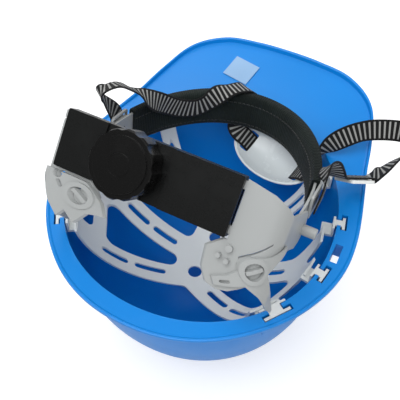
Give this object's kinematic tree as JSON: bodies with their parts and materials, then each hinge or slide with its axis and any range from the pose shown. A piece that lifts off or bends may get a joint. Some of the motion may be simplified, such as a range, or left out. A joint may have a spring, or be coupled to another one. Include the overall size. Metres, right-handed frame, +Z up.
{
  "type": "safety helmet",
  "caption": "Safety helmet with a peak, resting on its crown: cradle harness, padded headband, nape ratchet knob with sliding wings, and chin strap with a cup.",
  "frame": {"origin": "middle of the shell in plan, on the plane the crown ridges rest on", "axes": "+Z up out of the open bowl, +Y towards the peak, +X towards the side with the accessory slot seen in the picture; the helmet lies upside down"},
  "size_m": [0.2324, 0.263, 0.2409],
  "materials": {
    "shell_blue": "glossy moulded plastic",
    "harness_grey": "satin moulded plastic",
    "pad_dark": "ribbed padded fabric",
    "housing_black": "fine textured plastic",
    "knob_black": "satin plastic",
    "gear_white": "moulded plastic",
    "screw_steel": "turned steel",
    "webbing": "woven webbing with pale cross stripes",
    "cup_white": "milky plastic",
    "slider_white": "moulded plastic",
    "label_pale": "smooth film"
  },
  "bodies": {
    "helmet": {"shell": "shell_blue", "cradle": "harness_grey", "headband_front": "harness_grey", "sweatband": "pad_dark", "temple_pin_left": "harness_grey", "temple_pin_right": "harness_grey", "ratchet_cover": "housing_black", "ratchet_back": "housing_black", "case_screws": "screw_steel", "detent_ring": "housing_black", "chin_strap": "webbing", "strap_tail": "webbing", "chin_cup": "cup_white", "strap_slider": "slider_white", "strap_hook_left": "harness_grey", "strap_hook_right": "harness_grey", "label_blank": "label_pale"},
    "knob": {"ratchet_knob": "knob_black", "knob_cap": "knob_black", "knob_screw": "screw_steel", "pinion": "gear_white", "pawl_wheel": "gear_white"},
    "wing_right": {"nape_wing_right": "harness_grey", "hanger_right": "harness_grey"},
    "wing_left": {"nape_wing_left": "harness_grey", "hanger_left": "harness_grey"}
  },
  "joints": [
    {"name": "knob_turn", "type": "hinge", "parent": "helmet", "child": "knob", "pos_m": [-0.0177, -0.05, 0.218], "axis": [0, 0.7193, -0.6947], "range_deg": [0, 50.9]},
    {"name": "wing_right_slide", "type": "slide", "parent": "helmet", "child": "wing_right", "axis": [1, 0, 0], "range_m": [0, 0.008]},
    {"name": "wing_left_slide", "type": "slide", "parent": "helmet", "child": "wing_left", "axis": [-1, 0, 0], "range_m": [0, 0.008]}
  ],
  "couplings": [
    {"joint": "wing_right_slide", "follows": "knob_turn", "m_per_rad": 0.009},
    {"joint": "wing_left_slide", "follows": "knob_turn", "m_per_rad": 0.009}
  ]
}
